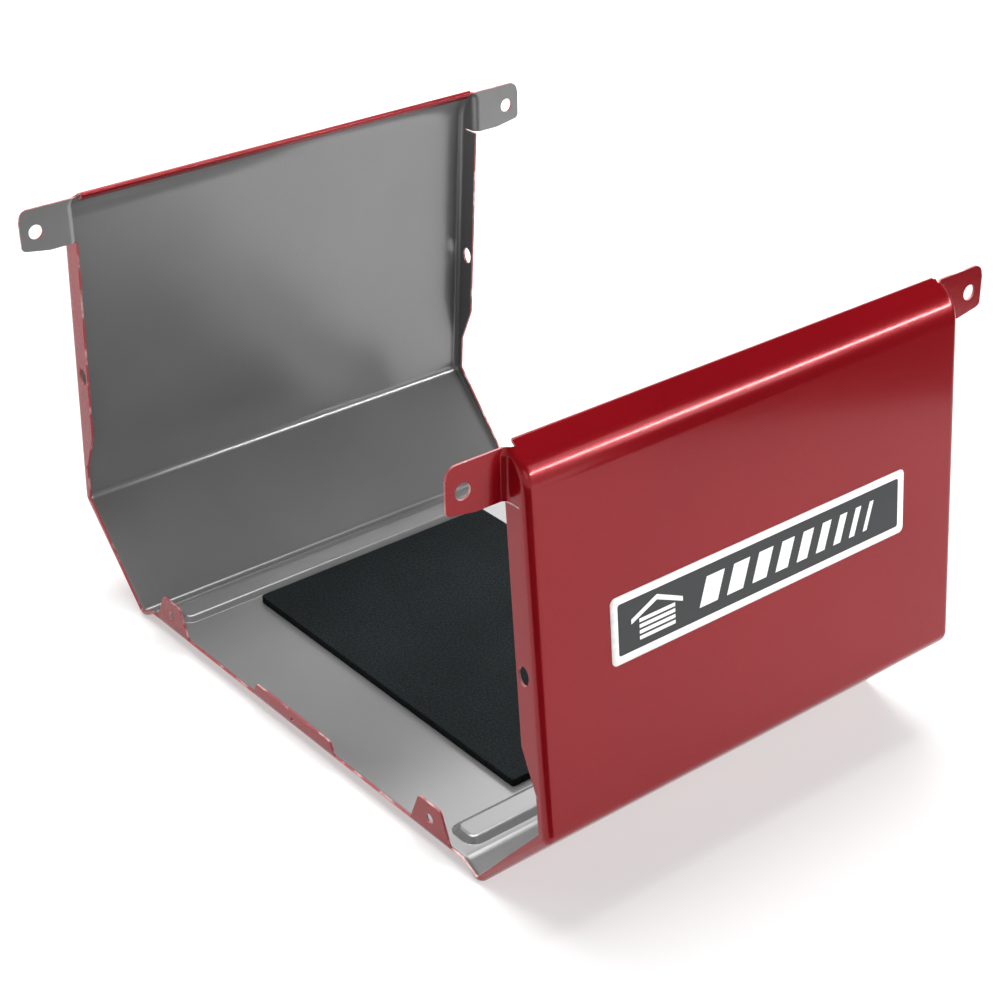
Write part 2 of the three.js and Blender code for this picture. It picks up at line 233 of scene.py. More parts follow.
class FormSettings(bpy.types.PropertyGroup):
    """The hem on the top edges and the ribs in the floor."""

    hem_gap: length("Hem gap", "Space left inside the rolled hem", 0.5)
    hem_flap: length("Hem flap", "Length of the flap behind the hem's roll", 3.5)
    hem_relief: length("Hem relief", "How far the hem stops short of the flanges", 4.0)
    rib_width: length("Rib width", "Width of a rib at the floor", 15.0)
    rib_height: length("Rib height", "Height of a rib", 2.2)
    rib_wall: length("Rib wall", "Width of a rib's sloping wall", 2.6)
    rib_round: length("Rib round", "Radius that blends a rib into the floor", 1.5)
    rib_corner: length("Rib corner", "Corner radius at a rib's ends", 5.0)
    rib_gap: length("Rib gap", "From a rib to the sloping strip", 2.8)
    rib_end_gap: length("Rib end gap", "From a rib's end to the open end", 7.0)


class FinishSettings(bpy.types.PropertyGroup):
    """Colours of the coats, the foam and the print."""

    red: colour("Red coat", "Powder coat outside", "#810913")
    grey: colour("Grey coat", "Powder coat inside", "#7F7F7F")
    # Both edge colours are lighter than the red coat: partly thin coat and pale primer, partly a painted
    # highlight along the rounded edges.
    edge: colour("Edge", "Coat along a cut edge", "#9C3C42")
    edge_bare_and_highlight: colour("Bare edge", "Primer that shows along a cut edge", "#D9B9B6")
    foam: colour("Foam", "Closed-cell foam of the pad", "#15191A")
    print_dark: colour("Print field", "Charcoal field of the label", "#212325")
    print_light: colour("Print light", "White border and marks of the label", "#F4F4F2")
    floor: colour("Floor", "Studio floor", "#BEBEBE")


class StageSettings(bpy.types.PropertyGroup):
    """Camera and studio."""

    azimuth: angle("Azimuth", "Camera's direction round the object", -40.417)
    elevation: angle("Elevation", "Camera's height over the horizon", 28.917)
    roll: angle("Roll", "Camera's turn about its own axis", 0.178)
    distance: length("Distance", "From the camera to the aim point", 855.2)
    aim: bpy.props.FloatVectorProperty(
        name="Aim",
        description="Aim point, from the middle of the object's box",
        default=(22.0 * MM, -28.1 * MM, -12.8 * MM),
        unit="LENGTH",
    )
    lens: bpy.props.FloatProperty(name="Lens", description="Focal length", default=78.02, unit="CAMERA")
    shift_x: bpy.props.FloatProperty(name="Shift X", description="Sideways lens shift", default=-0.08)
    shift_y: bpy.props.FloatProperty(name="Shift Y", description="Upright lens shift", default=-0.012)


# ---- plane geometry ----


def left_of(direction):
    return Vector((-direction.y, direction.x))


def turned(vector, turn):
    return Vector((vector.x * cos(turn) - vector.y * sin(turn), vector.x * sin(turn) + vector.y * cos(turn)))


def bend(before, corner, after, radius, steps):
    """The round of a line's corner, as points that each have the direction to their left."""
    ahead = (corner - before).normalized()
    out = (after - corner).normalized()
    turn = atan2(ahead.x * out.y - ahead.y * out.x, ahead.dot(out))
    side = 1 if turn > 0 else -1
    start = corner - ahead * radius * tan(abs(turn) / 2)
    centre = start + left_of(ahead) * radius * side
    spoke = start - centre
    turns = [turn * step / steps for step in range(steps + 1)]
    return [(centre + turned(spoke, part), left_of(turned(ahead, part))) for part in turns]


def rounded(corners, steps=6):
    """A line through (point, radius) corners, with the inner ones rounded where they have a radius."""
    points = []
    for index, (corner, radius) in enumerate(corners):
        inner = 0 < index < len(corners) - 1
        if inner and radius:
            before, after = corners[index - 1][0], corners[index + 1][0]
            points += [at for at, _ in bend(Vector(before), Vector(corner), Vector(after), radius, steps)]
        else:
            points.append(Vector(corner))
    return points


def rounded_loop(corners, radius, steps=6):
    """A closed outline with all its corners rounded."""
    count = len(corners)
    points = []
    for index in range(count):
        before, corner, after = (Vector(corners[(index + k) % count]) for k in (-1, 0, 1))
        points += [at for at, _ in bend(before, corner, after, radius, steps)]
    return points


# ---- mesh helpers ----


def wire(bm, points, start=None, end=None, closed=False):
    """New edges through the points, from an existing vertex and to another where they are given."""
    chain = [bm.verts.new(point) for point in points]
    chain = ([start] if start else []) + chain + ([end] if end else [])
    pairs = list(zip(chain, chain[1:])) + ([(chain[-1], chain[0])] if closed else [])
    return [bm.edges.new(pair) for pair in pairs]


def chain_edges(bm, chain):
    return [bm.edges.get(pair) for pair in zip(chain, chain[1:])]


def vertices_of(geometry):
    return [item for item in geometry if isinstance(item, bmesh.types.BMVert)]


def extrude_chain(bm, chain, place):
    """Extrudes a chain of vertices and puts each new one where place(index) says."""
    made = bmesh.ops.extrude_edge_only(bm, edges=chain_edges(bm, chain))["geom"]
    fresh = set(vertices_of(made))
    moved = []
    for index, old in enumerate(chain):
        new = next(edge.other_vert(old) for edge in old.link_edges if edge.other_vert(old) in fresh)
        new.co = place(index)
        moved.append(new)
    return moved


def plate(bm, edges):
    """Fills a flat outline, leaving out the loops inside it."""
    bmesh.ops.triangle_fill(bm, use_beauty=True, use_dissolve=False, edges=edges)


def mirror(bm, axis):
    """Mirrors the whole mesh across the middle, and joins the halves."""
    geometry = bm.verts[:] + bm.edges[:] + bm.faces[:]
    bmesh.ops.mirror(bm, geom=geometry, matrix=Matrix.Identity(4), merge_dist=SAME_POINT, axis=axis)


def finish_mesh(bm, name, materials, flip_if=None):
    """Closes the seams, turns the faces outwards, and makes the object, in metres."""
    bmesh.ops.remove_doubles(bm, verts=bm.verts[:], dist=SAME_POINT)
    bmesh.ops.recalc_face_normals(bm, faces=bm.faces[:])
    if flip_if and flip_if(bm):
        bmesh.ops.reverse_faces(bm, faces=bm.faces[:])
    bmesh.ops.scale(bm, vec=(MM, MM, MM), verts=bm.verts[:])
    for face in bm.faces:
        face.smooth = True
    return new_object(bm, name, materials)


def new_object(bm, name, materials):
    """Makes a mesh's object and links it, with its materials."""
    mesh = bpy.data.meshes.new(name)
    bm.to_mesh(mesh)
    bm.free()
    made = bpy.data.objects.new(name, mesh)
    bpy.context.scene.collection.objects.link(made)
    for material in materials:
        mesh.materials.append(material)
    return made


# ---- materials ----


def node(tree, kind, settings=None, **inputs):
    """Adds a node, sets its properties, and fills or links its inputs."""
    made = tree.nodes.new(kind)
    for key, value in (settings or {}).items():
        setattr(made, key, value)
    for key, value in inputs.items():
        socket = made.inputs[int(key[1:]) if key[0] == "_" else key.replace("_", " ")]
        if isinstance(value, bpy.types.NodeSocket):
            tree.links.new(value, socket)
        else:
            socket.default_value = value
    return made


def new_material(name):
    """A new material with its node tree, its shader and the object coordinates that patterns read."""
    material = bpy.data.materials.new(name)
    material.use_nodes = True
    tree = material.node_tree
    shader = tree.nodes["Principled BSDF"]
    place = tree.nodes.new("ShaderNodeTexCoord").outputs["Object"]
    return material, tree, shader, place


def shade(tree, shader, base, roughness, normal=None):
    """Sets the shader's colour and roughness and links its normal; each may be a value or a socket."""
    for socket, value in (("Base Color", base), ("Roughness", roughness), ("Normal", normal)):
        if isinstance(value, bpy.types.NodeSocket):
            tree.links.new(value, shader.inputs[socket])
        elif value is not None:
            shader.inputs[socket].default_value = value


def spread(tree, value, low, high, start, end):
    """A value's range from low to high, spread over start to end."""
    inputs = {"Value": value, "From_Min": low, "From_Max": high, "To_Min": start, "To_Max": end}
    return node(tree, "ShaderNodeMapRange", **inputs).outputs[0]


def per_metre(size):
    """The scale of a noise whose features are about this many millimetres across."""
    return 1 / (size * MM)


def powder_coat(name, base, roughness, grain, peel, metal, clear):
    """Baked polyester powder coat, sprayed on and melted: a soft gloss over a fine, slightly lumpy skin.

    Its grain is about 0.2 mm, too fine to show, so the speck is drawn at 0.8 mm and the skin at 2.6 mm.
    """
    material, tree, shader, place = new_material(name)
    speck = node(tree, "ShaderNodeTexNoise", Vector=place, Scale=per_metre(0.8), Detail=2.0, Roughness=0.6)
    skin = node(tree, "ShaderNodeTexNoise", Vector=place, Scale=per_metre(2.6), Detail=1.0, Roughness=0.4)
    cloud = node(tree, "ShaderNodeTexNoise", Vector=place, Scale=per_metre(70), Detail=3.0, Roughness=0.5)
    drift = spread(tree, cloud.outputs["Fac"], 0.3, 0.7, 0.95, 1.05)
    fleck = spread(tree, speck.outputs["Fac"], 0.25, 0.75, 1 - grain, 1 + grain)
    both = node(tree, "ShaderNodeMath", {"operation": "MULTIPLY"}, _0=drift, _1=fleck)
    tint = node(tree, "ShaderNodeHueSaturation", Value=both.outputs[0], Color=base)
    gloss = spread(tree, cloud.outputs["Fac"], 0.3, 0.7, roughness * 0.93, roughness * 1.07)
    lumps = node(tree, "ShaderNodeBump", Strength=peel, Distance=0.05 * MM, Height=skin.outputs["Fac"])
    fine = node(tree, "ShaderNodeBump", Strength=peel, Distance=0.012 * MM, Height=speck.outputs["Fac"])
    tree.links.new(lumps.outputs["Normal"], fine.inputs["Normal"])
    shade(tree, shader, tint.outputs["Color"], gloss, fine.outputs["Normal"])
    shader.inputs["Metallic"].default_value = metal
    shader.inputs["Specular IOR Level"].default_value = 0.5 - clear
    shader.inputs["Coat Weight"].default_value = clear
    shader.inputs["Coat Roughness"].default_value = roughness * 0.5
    return material


def thin_edge_coat_and_highlight(name, coated, bare):
    """Sheared edge of the sheet: the coat is thin over the burr, so pale primer shows in patches; both
    colours are also lighter than the coat, a painted highlight along the edges.

    The burr is about 0.1 mm, too fine to show, so it is drawn at 0.7 mm.
    """
    material, tree, shader, place = new_material(name)
    drift = node(tree, "ShaderNodeTexNoise", Vector=place, Scale=per_metre(9), Detail=3.0, Roughness=0.6)
    sharp = spread(tree, drift.outputs["Fac"], 0.5, 0.7, 0.0, 1.0)
    # Painted highlight together with real primer: the lighter coat and the pale patches make the cut edges
    # read as bright lines.
    mixed = node(tree, "ShaderNodeMix", {"data_type": "RGBA"}, _0=sharp, _6=coated, _7=bare)
    burr = node(tree, "ShaderNodeTexNoise", Vector=place, Scale=per_metre(0.7), Detail=2.0)
    rough = node(tree, "ShaderNodeBump", Strength=0.5, Distance=0.03 * MM, Height=burr.outputs["Fac"])
    shade(tree, shader, mixed.outputs[2], 0.3, rough.outputs["Normal"])
    return material


def closed_cell_foam(name, base):
    """Die-cut closed-cell foam: matt and nearly black, with cut cells that catch a little light.

    The cells are about 0.4 mm, too fine to show, so they are drawn at about 1 mm.
    """
    material, tree, shader, place = new_material(name)
    pores = node(tree, "ShaderNodeTexVoronoi", Vector=place, Scale=per_metre(1.1))
    fine = node(tree, "ShaderNodeTexNoise", Vector=place, Scale=per_metre(0.9), Detail=3.0, Roughness=0.7)
    broad = node(tree, "ShaderNodeTexNoise", Vector=place, Scale=per_metre(45), Detail=2.0)
    level = spread(tree, fine.outputs["Fac"], 0.35, 0.8, 0.5, 2.6)
    wide = spread(tree, broad.outputs["Fac"], 0.3, 0.7, 0.85, 1.15)
    both = node(tree, "ShaderNodeMath", {"operation": "MULTIPLY"}, _0=level, _1=wide)
    tint = node(tree, "ShaderNodeHueSaturation", Value=both.outputs[0], Color=base)
    pits = node(tree, "ShaderNodeBump", Strength=0.6, Distance=0.15 * MM, Height=pores.outputs["Distance"])
    skin = node(tree, "ShaderNodeBump", Strength=0.5, Distance=0.08 * MM, Height=fine.outputs["Fac"])
    tree.links.new(pits.outputs["Normal"], skin.inputs["Normal"])
    shade(tree, shader, tint.outputs["Color"], 0.88, skin.outputs["Normal"])
    shader.inputs["Specular IOR Level"].default_value = 0.08
    return material


def printed_vinyl(name, base):
    """Screen-printed vinyl film: an even satin with the faint drag of the squeegee in its sheen.

    The screen's threads are about 0.1 mm, too fine to show, so the streaks are drawn at 1.6 mm.
    """
    material, tree, shader, place = new_material(name)
    drag = node(tree, "ShaderNodeMapping", Vector=place, Scale=(0.15, 1.0, 1.0))
    streak = node(tree, "ShaderNodeTexNoise", Vector=drag.outputs[0], Scale=per_metre(1.6), Detail=2.0)
    level = spread(tree, streak.outputs["Fac"], 0.3, 0.7, 0.95, 1.05)
    tint = node(tree, "ShaderNodeHueSaturation", Value=level, Color=base)
    film = node(tree, "ShaderNodeBump", Strength=0.25, Distance=0.02 * MM, Height=streak.outputs["Fac"])
    shade(tree, shader, tint.outputs["Color"], 0.38, film.outputs["Normal"])
    return material


# ---- outline of the shell ----


class Outline:
    """The sheet's outside line from the middle of the floor up to the hem, as rows of the quarter mesh."""

    def __init__(self, shell, ends, form):
        self.shell, self.ends = shell, ends
        self.half_length = SHELL_HIGH.x / MM - ends.ear_length
        self.rows, self.inward, self.lips, self.marks = [], [], [], {}
        height = self.height_over_foot(shell)
        self.top = height
        self.sink = height - SHELL_HIGH.z / MM
        knee_z = height - shell.shoulder_drop
        knee = Vector((self.side_y(knee_z), knee_z))
        self.up = turned(Vector((0, 1)), shell.shoulder_angle)
        self.into = left_of(self.up)
        self.roll = shell.sheet + form.hem_gap / 2
        reach = (shell.shoulder_drop - self.roll * (1 - sin(shell.shoulder_angle))) / self.up.y
        self.hem = knee + self.up * reach
        self.ear_plane = knee.x - shell.shoulder_drop * tan(shell.shoulder_angle)
        self.ear_bottom = height - ends.ear_bottom
        self.ear_top = height - ends.ear_top
        floor_edge = Vector((shell.foot - shell.strip_run, shell.floor_rise))
        foot = Vector((shell.foot, 0))
        fold = Vector((shell.half_width, shell.fold_rise))
        floor = Vector((0, shell.floor_rise))
        lean_in = Vector((-1, 0))

        for name, y in (
            ("middle", 0),
            ("middle_edge", ends.middle_half),
            ("tab_inner", ends.tab_outer - ends.tab_width),
            ("tab_outer", ends.tab_outer),
        ):
            self.stop(name, Vector((y, shell.floor_rise)), Vector((0, 1)), ends.floor_lip)
        self.round("floor_edge", bend(floor, floor_edge, foot, shell.strip_radius, 5), ends.floor_lip)
        self.round("foot", bend(floor_edge, foot, fold, shell.foot_radius, 8), ends.foot_lip)
        chamfer = bend(foot, fold, knee, shell.side_radius, 8)
        share = (shell.end_radius - ends.foot_lip) / (ends.lip - ends.foot_lip)
        from_row = self.rows[-1]
        self.stop("full_bend", from_row.lerp(chamfer[0][0], share), self.inward[-1], shell.end_radius)
        self.round("fold", chamfer, ends.lip)
        ease = shell.side_radius * tan(atan2(ends.flange - ends.lip, ends.taper) / 2)
        for name, z in (
            ("flange_start", ends.taper_start - ease),
            ("relief", self.ear_bottom - ends.relief_gap),
            ("ear_bottom", self.ear_bottom),
        ):
            self.stop(name, Vector((self.side_y(z), z)), lean_in, ends.lip)
        past = knee + self.up * height
        shoulder = bend(fold, knee, past, shell.shoulder_radius, 14)
        self.round("shoulder", [(at, lean_in) for at, _ in shoulder], ends.lip)
        top_run = (self.ear_top - knee.y) / self.up.y
        self.stop("ear_top", knee + self.up * top_run, lean_in, ends.lip)
        self.stop("hem", self.hem, lean_in, ends.lip)

    @staticmethod
    def height_over_foot(shell):
        """Height over the foot's sharp corner, which is a little more than over its round."""
        slope = atan2(shell.floor_rise, shell.strip_run)
        rise = atan2(shell.fold_rise, shell.half_width - shell.foot)
        start = Vector((-cos(slope), sin(slope))) * shell.foot_radius * tan((slope + rise) / 2)
        centre_z = start.y + shell.foot_radius * cos(slope)
        return SHELL_HIGH.z / MM + centre_z - shell.foot_radius

    def side_y(self, z):
        return self.shell.half_width - tan(self.shell.lean) * (z - self.shell.fold_rise)

    def stop(self, name, at, inward, lip):
        self.marks[name] = len(self.rows)
        self.rows.append(at)
        self.inward.append(inward)
        self.lips.append(lip)

    def round(self, name, arc, lip):
        for at, inward in arc:
            self.stop(name, at, inward, lip)

    def span(self, first, last):
        return range(self.marks[first], self.marks[last] + 1)


# ---- the shell's ends ----


def joggle_turn(outline, row):
    """How far the sheet turns in the joggle to the ear: a right angle, or less where the step is small."""
    end, ear = outline.shell.end_radius, outline.ends.ear_bend
    step = outline.rows[row].x - (outline.ear_plane + outline.shell.sheet / 2)
    return acos(max(1 - step / (end + ear), 0))


def bend_turn(outline, row):
    radius = outline.shell.end_radius
    if row > outline.marks["ear_bottom"]:
        return joggle_turn(outline, row)
    return acos(max(1 - outline.lips[row] / radius, 0))


def bent(outline, row, turn):
    """A point of the bend that starts the flange, the given turn into it."""
    radius = outline.shell.end_radius
    at = outline.rows[row] + outline.inward[row] * radius * (1 - cos(turn))
    return Vector((outline.half_length - radius + radius * sin(turn), at.x, at.y))


def make_tab(bm, outline, lip, inner_mark, outer_mark, height, draft, hole_y, hole, hole_z):
    """Carries the bend on into a tab that stands up from the lip, with its hole."""
    shell, ends = outline.shell, outline.ends
    rows = outline.span(inner_mark, outer_mark)
    start_z = shell.floor_rise + ends.floor_lip
    top_z = shell.floor_rise + height
    inner = outline.rows[rows[0]].x
    outer = outline.rows[rows[-1]].x
    begin = bend_turn(outline, rows[0])
    at_middle = inner == 0
    chain = [lip[row] for row in rows]

    def narrowed(row, z):
        gone = draft * (z - start_z) / (top_z - start_z)
        if row == rows[-1]:
            return outer - gone
        return inner if at_middle or row != rows[0] else inner + gone

    for step in range(1, TAB_STEPS + 1):
        turn = begin + (pi / 2 - begin) * step / TAB_STEPS

        def place(index, turn=turn):
            at = bent(outline, rows[index], turn)
            return Vector((at.x, narrowed(rows[index], at.z), at.z))

        chain = extrude_chain(bm, chain, place)
    plane = outline.half_length
    low, high = chain[0], chain[-1]
    corners = [(high.co.yz, 0), ((outer - draft, top_z), ends.tab_corner)]
    if at_middle:
        corners += [((0, top_z), 0)]
        half_hole = [(sin(pi * k / 12) * hole / 2, hole_z + cos(pi * k / 12) * hole / 2) for k in range(13)]
        line = rounded(corners)[1:] + [Vector(at) for at in half_hole]
    else:
        corners += [((inner + draft, top_z), ends.tab_corner), (low.co.yz, 0)]
        line = rounded(corners)[1:-1]
    edges = wire(bm, [(plane, *at) for at in line], start=high, end=low)
    if not at_middle:
        edges += oval(bm, plane, hole_y, hole_z, hole, hole)
    plate(bm, edges + chain_edges(bm, chain))


def oval(bm, plane, y, z, width, height, steps=28):
    """A closed oval line in the plane of an open end."""
    turns = [2 * pi * step / steps for step in range(steps)]
    points = [(plane, y + cos(turn) * width / 2, z + sin(turn) * height / 2) for turn in turns]
    return wire(bm, points, closed=True)


def make_flange(bm, outline, bent_chain, lip_end, relief):
    """Fills the flat flange beside a side panel, from where the lip widens up to the slit under the ear."""
    ends, shell = outline.ends, outline.shell
    plane = outline.half_length
    wide_z = ends.taper_start + ends.taper
    top_z = outline.ear_bottom - ends.relief_gap
    inner_top = outline.side_y(top_z) - ends.flange
    line = rounded(
        [
            (lip_end.co.yz, 0),
            ((outline.side_y(ends.taper_start) - ends.lip, ends.taper_start), shell.side_radius),
            ((outline.side_y(wide_z) - ends.flange, wide_z), shell.side_radius),
            ((inner_top, top_z), 0),
        ]
    )
    line = [at for at in line[1:] if (at - lip_end.co.yz).length > SAME_POINT]
    edges = wire(bm, [(plane, *at) for at in line], start=lip_end, end=relief)
    first, last = outline.marks["flange_start"], outline.marks["relief"]
    edges += chain_edges(bm, bent_chain[first : last + 1])
    edges += [bm.edges.get((bent_chain[first], lip_end)), bm.edges.get((bent_chain[last], relief))]
    slot_y = outline.side_y(ends.slot_rise) - ends.slot_inset
    edges += oval(bm, plane, slot_y, ends.slot_rise, ends.slot_width, ends.slot_height)
    plate(bm, edges)


def make_ear(bm, outline, column):
    """Carries the flange round the second bend and out into the ear, with its rounded corners and hole."""
    ends = outline.ends
    first = outline.marks["ear_bottom"]
    rows = range(first, first + len(column))
    chain = column
    for step in range(1, EAR_STEPS + 1):
        starts = [vertex.co.copy() for vertex in column]

        def place(index, step=step, starts=starts):
            full = bend_turn(outline, rows[index])
            turn = full * (1 - step / EAR_STEPS)
            along = ends.ear_bend * (sin(full) - sin(turn))
            across = ends.ear_bend * (cos(turn) - cos(full))
            return starts[index] + Vector((along, -across, 0))

        chain = extrude_chain(bm, chain, place)
    plane_y = outline.ear_plane + outline.shell.sheet / 2
    tip = outline.half_length + ends.ear_length
    waist = outline.half_length + ends.ear_length / 2
    low, high = chain[0], chain[-1]
    nick = outline.ear_top - ends.ear_corner
    corners = [
        (high.co.xz, 0),
        ((tip - ends.ear_nick, outline.ear_top), ends.ear_corner),
        ((tip - ends.ear_nick, nick - CLEARANCE), 0),
        ((tip, nick - ends.ear_nick), 0),
        ((tip, outline.ear_bottom + ends.ear_taper), ends.ear_lower_corner),
        ((waist, outline.ear_bottom), 0),
        (low.co.xz, 0),
    ]
    line = rounded(corners, 8)[1:-1]
    edges = wire(bm, [(at.x, plane_y, at.y) for at in line], start=high, end=low)
    hole_x, hole_z = tip - ends.ear_hole_inset, outline.top - ends.ear_hole_drop
    turns = [2 * pi * step / 32 for step in range(32)]
    reach = ends.ear_hole / 2
    ring = [(hole_x + cos(turn) * reach, plane_y, hole_z + sin(turn) * reach) for turn in turns]
    edges += wire(bm, ring, closed=True) + chain_edges(bm, chain)
    plate(bm, edges)


def make_quarter(outline, form):
    """One quarter of the sheet's outside face, with its end bends, lips, flange, tabs and ear."""
    bm = bmesh.new()
    shell, ends, marks = outline.shell, outline.ends, outline.marks
    chain = [bm.verts.new((0, at.x, at.y)) for at in outline.rows]
    for pair in zip(chain, chain[1:]):
        bm.edges.new(pair)
    for x in (outline.half_length - form.hem_relief, outline.half_length - shell.end_radius):
        chain = extrude_chain(bm, chain, lambda row, x=x: Vector((x, *outline.rows[row])))
    chain = chain[: marks["ear_top"] + 1]
    for step in range(1, BEND_STEPS + 1):
        chain = extrude_chain(
            bm, chain, lambda row, step=step: bent(outline, row, bend_turn(outline, row) * step / BEND_STEPS)
        )

    lip_rows = outline.span("full_bend", "flange_start")

    def to_lip(index):
        row = lip_rows[index]
        inward = outline.inward[row] * (outline.lips[row] - shell.end_radius)
        return chain[row].co + Vector((0, *inward))

    lip = extrude_chain(bm, [chain[row] for row in lip_rows], to_lip)

    ear_rows = range(marks["relief"], marks["ear_top"] + 1)
    relief_y = outline.ear_plane + ends.relief_depth
    share = (chain[marks["ear_bottom"]].co.y - relief_y) / flat_length(outline, marks["ear_bottom"])

    def to_relief(index):
        row = ear_rows[index]
        if row <= marks["ear_bottom"]:
            return Vector((outline.half_length, relief_y, outline.rows[row].y))
        return chain[row].co + Vector((0, -share * flat_length(outline, row), 0))

    relief = extrude_chain(bm, [chain[row] for row in ear_rows], to_relief)

    def to_root(index):
        row = ear_rows[index + 1]
        return chain[row].co + Vector((0, -flat_length(outline, row), 0))

    root = extrude_chain(bm, relief[1:], to_root)
    make_ear(bm, outline, root)
    make_flange(bm, outline, chain, lip[-1], relief[0])

    tab_y = ends.tab_outer - ends.tab_width / 2
    floor = shell.floor_rise
    make_tab(
        bm, outline, chain, "tab_inner", "tab_outer", ends.tab_height, ends.tab_draft,
        tab_y, ends.tab_hole, floor + ends.tab_hole_rise,
    )
    make_tab(
        bm, outline, chain, "middle", "middle_edge", ends.middle_height, ends.middle_draft,
        0, ends.middle_hole, floor + ends.middle_hole_rise,
    )
    return bm


def flat_length(outline, row):
    """The flat stretch between the two bends of an ear's root, none where the joggle is shallow."""
    step = outline.rows[row].x - (outline.ear_plane + outline.shell.sheet / 2)
    return max(step - outline.shell.end_radius - outline.ends.ear_bend, 0)


# ---- ribs and hem ----


def rib_steps(form):
    """The rib's wall as (inset, rise) steps: into a round, up the slope and out through a round."""
    slope = atan2(form.rib_height, form.rib_wall)
    tangent = form.rib_round * tan(slope / 2)
    line = rounded(
        [
            ((-tangent, 0), 0),
            ((0, 0), form.rib_round),
            ((form.rib_wall, form.rib_height), form.rib_round),
            ((form.rib_wall + tangent, form.rib_height), 0),
        ],
        RIB_STEPS,
    )[1:-1]
    return [after - before for before, after in zip(line, line[1:])], tangent


def press_rib(bm, outline, form):
    """Opens the floor panel beside the strip and fills it again with a rib pressed up out of it."""
    shell, ends = outline.shell, outline.ends
    floor_end = outline.rows[outline.marks["tab_outer"] + 1].x
    inner = ends.tab_outer - ends.tab_width
    reach = outline.half_length - shell.end_radius
    z = shell.floor_rise

    def in_panel(at):
        inside = inner - SAME_POINT < at.y < floor_end + SAME_POINT
        return inside and abs(at.x) < reach + SAME_POINT and abs(at.z - z) < SAME_POINT

    panel = [face for face in bm.faces if all(in_panel(vertex.co) for vertex in face.verts)]
    rim = {edge for face in panel for edge in face.edges}
    bmesh.ops.delete(bm, geom=panel, context="FACES")
    rim = [edge for edge in rim if edge.is_valid]

    steps, tangent = rib_steps(form)
    outer_y = shell.foot - shell.strip_run - form.rib_gap
    inner_y = outer_y - form.rib_width
    end = outline.half_length - form.rib_end_gap
    grow = tangent - shell.sheet * tan(atan2(form.rib_height, form.rib_wall) / 2)
    low, high, far = inner_y - grow, outer_y + grow, end + grow
    corners = [(-far, low), (far, low), (far, high), (-far, high)]
    loop = [(at.x, at.y, z) for at in rounded_loop(corners, form.rib_corner + grow, 8)]
    ring = wire(bm, loop, closed=True)
    plate(bm, rim + ring)
    top = bm.faces.new(ordered(ring))
    top.normal_update()
    side = 1 if top.normal.z > 0 else -1
    for step in steps:
        bmesh.ops.inset_region(
            bm, faces=[top], thickness=step.x, depth=step.y * side, use_boundary=True, use_even_offset=True
        )


def ordered(ring):
    """The vertices of a closed ring of edges, in order."""
    start = ring[0].verts[0]
    vertices, edge = [start], ring[0]
    while True:
        vertex = edge.other_vert(vertices[-1])
        if vertex is start:
            return vertices
        vertices.append(vertex)
        edge = next(other for other in vertex.link_edges if other is not edge and other in ring)


def roll_hem(bm, outline, form):
    """Rolls the top edge over and folds its flap down inside."""
    reach = outline.half_length - form.hem_relief
    hem = outline.hem

    def on_hem(vertex):
        return (vertex.co.yz - hem).length < SAME_POINT and abs(vertex.co.x) < reach + SAME_POINT

    edges = [edge for edge in bm.edges if all(on_hem(vertex) for vertex in edge.verts)]
    centre = hem + outline.into * outline.roll
    start = edges + list({vertex for edge in edges for vertex in edge.verts})
    spun = bmesh.ops.spin(
        bm, geom=start, cent=(0, centre.x, centre.y), axis=(1, 0, 0), angle=pi, steps=12, use_duplicate=False
    )
    last = [item for item in spun["geom_last"] if isinstance(item, bmesh.types.BMEdge)]
    flap = bmesh.ops.extrude_edge_only(bm, edges=last)["geom"]
    down = -outline.up * form.hem_flap
    bmesh.ops.translate(bm, vec=(0, down.x, down.y), verts=vertices_of(flap))


def floor_faces_up(bm):
    """True where the outside of the floor was left facing into the shell."""
    lowest = min(bm.faces, key=lambda face: abs(face.calc_center_median().y) + face.calc_center_median().z)
    return lowest.normal.z > 0


def build_shell(context):
    scene = context.scene
    shell, ends, form = (in_mm(group) for group in (scene.cover_shell, scene.cover_ends, scene.cover_form))
    finish = scene.cover_finish
    outline = Outline(shell, ends, form)
    bm = make_quarter(outline, form)
    mirror(bm, "X")
    press_rib(bm, outline, form)
    roll_hem(bm, outline, form)
    mirror(bm, "Y")
    lowest = min(vertex.co.z for vertex in bm.verts)
    bmesh.ops.translate(bm, vec=(0, 0, -lowest), verts=bm.verts[:])
    red = powder_coat("red_powder_coat", finish.red, 0.22, 0.09, 0.8, 0.3, 0.35)
    grey = powder_coat("grey_powder_coat", finish.grey, 0.25, 0.03, 0.3, 0.42, 0.15)
    # The rims' colour is partly thin coat and primer, partly painted highlight.
    edge = thin_edge_coat_and_highlight("thin_coat_and_painted_highlight_edge", finish.edge, finish.edge_bare_and_highlight)
    piece = finish_mesh(bm, "folded_shell", [red, grey, edge], floor_faces_up)
    wall = piece.modifiers.new("sheet", "SOLIDIFY")
    wall.thickness = scene.cover_shell.sheet
    wall.offset = -1
    wall.use_even_offset = True
    wall.material_offset = 1
    wall.material_offset_rim = 2
    worn = piece.modifiers.new("worn_edges", "BEVEL")
    worn.width = 0.14 * MM
    worn.segments = 2
    worn.limit_method = "ANGLE"
    worn.angle_limit = radians(50)
    flat = piece.modifiers.new("flat_panels", "WEIGHTED_NORMAL")
    flat.keep_sharp = True
    flat.weight = 90
    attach(piece, "root")
    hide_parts("cover_shell")
    return piece


# ---- pad and label ----


